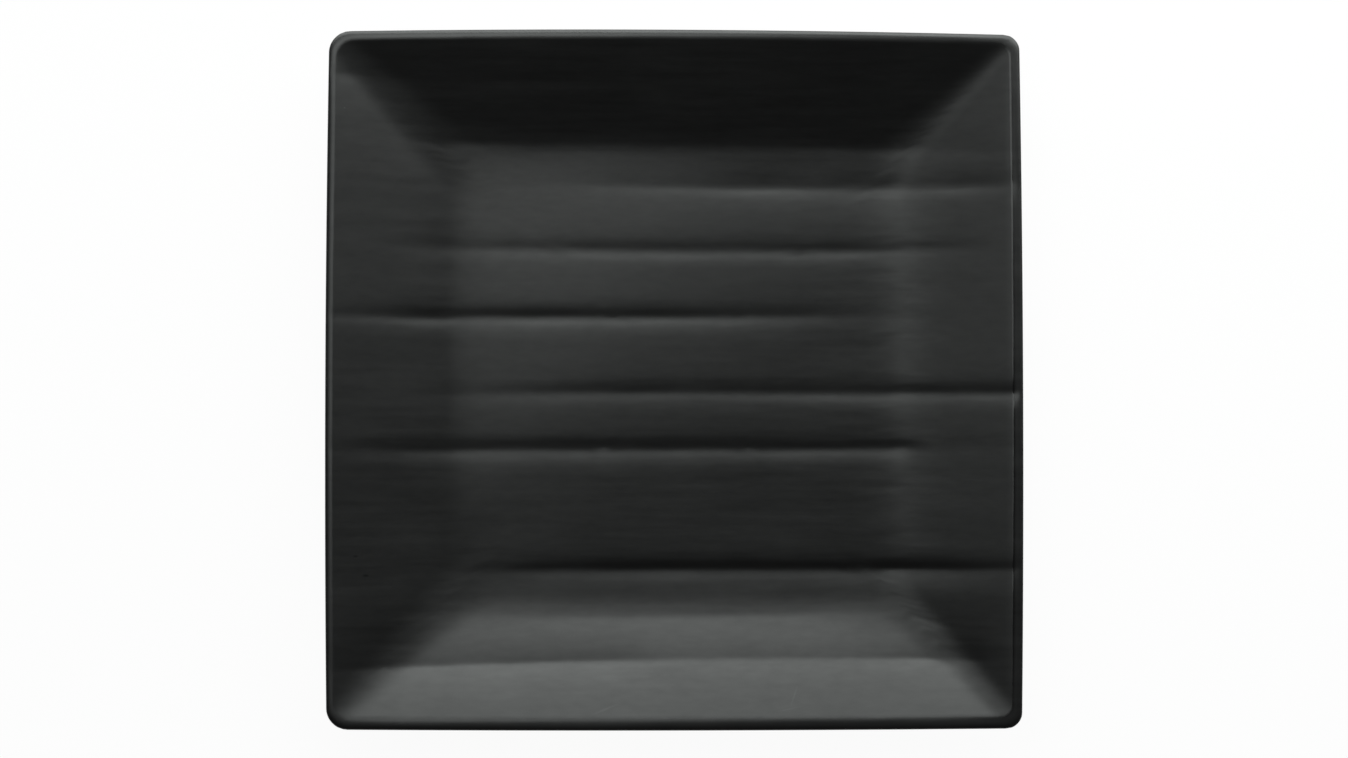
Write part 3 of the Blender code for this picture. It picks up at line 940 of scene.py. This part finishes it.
class PLATE_OT_moulded_body(bpy.types.Operator):
    """Make the body: the face set in under the glaze, closed by the back, the foot ring and its floor."""

    bl_idname = "plate.moulded_body"
    bl_label = "Moulded Body"

    def execute(self, context):
        form = PlateForm(context.scene.plate_sizes)
        material = body_material(context.scene.plate_finish)
        piece = face_object("moulded_body", form.face_values(BODY_COLUMNS, BODY_ROWS, material))
        bm = bmesh.new()
        bm.from_mesh(piece.data)
        bm.normal_update()
        places = [vert.co - vert.normal * form.layers for vert in bm.verts]
        for vert, place in zip(bm.verts, places):
            vert.co = place
        layer = bm.verts.layers.float_vector[SEAT]
        ring = edge_ring(bm, layer)
        seats = [vert[layer].copy() for vert in ring]
        for loop, level in form.back_stations():
            ring = add_ring(bm, ring, [(*form.settle(loop, seat), level) for seat in seats])
        bm.faces.new(ring[::-1], ring[0].link_faces[0])
        bm.to_mesh(piece.data)
        bm.free()
        finish_piece(piece, "plate_body")
        return {"FINISHED"}


class PLATE_OT_studio(bpy.types.Operator):
    """Make the floor, the soft light and the camera over the plate."""

    bl_idname = "plate.studio"
    bl_label = "Studio"

    def execute(self, context):
        scene = context.scene
        stage = scene.plate_stage
        scene.view_settings.view_transform = "Standard"
        self.make_floor(scene, stage)
        self.make_light(scene, stage)
        self.make_camera(scene, stage)
        return {"FINISHED"}

    def make_floor(self, scene, stage):
        """Lay the floor just under the foot ring."""
        bm = bmesh.new()
        bmesh.ops.create_grid(bm, x_segments=1, y_segments=1, size=stage.floor_side / 2)
        mesh = bpy.data.meshes.new("floor")
        bm.to_mesh(mesh)
        bm.free()
        mesh.materials.append(floor_material(stage))
        floor = bpy.data.objects.new("floor", mesh)
        floor.location.z = -stage.floor_drop
        scene.collection.objects.link(floor)

    def make_light(self, scene, stage):
        """Light the room evenly, and hang the panels so that they face the plate."""
        world = bpy.data.worlds.new("studio")
        world.use_nodes = True
        glow = world.node_tree.nodes["Background"].inputs
        glow["Color"].default_value = (1, 1, 1, 1)
        glow["Strength"].default_value = stage.room
        scene.world = world
        for panel in PANELS:
            light = bpy.data.lights.new(panel.name, "AREA")
            light.shape = "RECTANGLE"
            light.size = panel.width
            light.size_y = panel.height
            light.energy = panel.radiance * math.pi * panel.width * panel.height
            light.color = stage.lamp
            lamp = bpy.data.objects.new(panel.name, light)
            lamp.location = panel.place
            lamp.rotation_euler = (-lamp.location).to_track_quat("-Z", "Y").to_euler()
            scene.collection.objects.link(lamp)

    def make_camera(self, scene, stage):
        """Hang the camera over the plate, with the far side up in the picture."""
        sizes = scene.plate_sizes
        place = Vector((-stage.camera_left, -stage.camera_near, stage.camera_height))
        aim = Vector((-stage.aim_left, stage.aim_far, sizes.height - sizes.lip / 2))
        data = bpy.data.cameras.new("camera")
        frame_width = sizes.across * PICTURE_WIDTH / PLATE_SPAN
        data.lens = data.sensor_width * (place - aim).length / frame_width
        camera = bpy.data.objects.new("camera", data)
        back = (place - aim).normalized()
        right = Vector((0, 1, 0)).cross(back).normalized()
        camera.location = place
        camera.rotation_euler = Matrix((right, back.cross(right), back)).transposed().to_euler()
        scene.collection.objects.link(camera)
        scene.camera = camera


class PLATE_PT_panel(bpy.types.Panel):
    """Sidebar panel with the plate's settings and the operators that make its pieces."""

    bl_idname = "PLATE_PT_panel"
    bl_label = "Square Melamine Plate"
    bl_space_type = "VIEW_3D"
    bl_region_type = "UI"
    bl_category = "Plate"

    def draw(self, context):
        for name in GROUPS:
            box = self.layout.box()
            group = getattr(context.scene, name)
            for setting in group.bl_rna.properties:
                if not setting.is_readonly and setting.identifier != "name":
                    box.prop(group, setting.identifier)
        for operator in OPERATORS:
            self.layout.operator(operator.bl_idname)


GROUPS = {"plate_sizes": PlateSizes, "plate_finish": PlateFinish, "plate_stage": PlateStage}
OPERATORS = (PLATE_OT_moulded_body, PLATE_OT_glazed_face, PLATE_OT_studio)
CLASSES = (*GROUPS.values(), *OPERATORS, PLATE_PT_panel)


def register():
    """Register the classes and hang the settings on the scene."""
    for cls in CLASSES:
        bpy.utils.register_class(cls)
    for name, group in GROUPS.items():
        setattr(bpy.types.Scene, name, PointerProperty(type=group))


def unregister():
    """Undo register."""
    for name in GROUPS:
        delattr(bpy.types.Scene, name)
    for cls in reversed(CLASSES):
        bpy.utils.unregister_class(cls)


def main():
    """Make the plate and its studio."""
    register()
    bpy.ops.plate.moulded_body()
    bpy.ops.plate.glazed_face()
    bpy.ops.plate.studio()


if __name__ == "__main__":
    main()
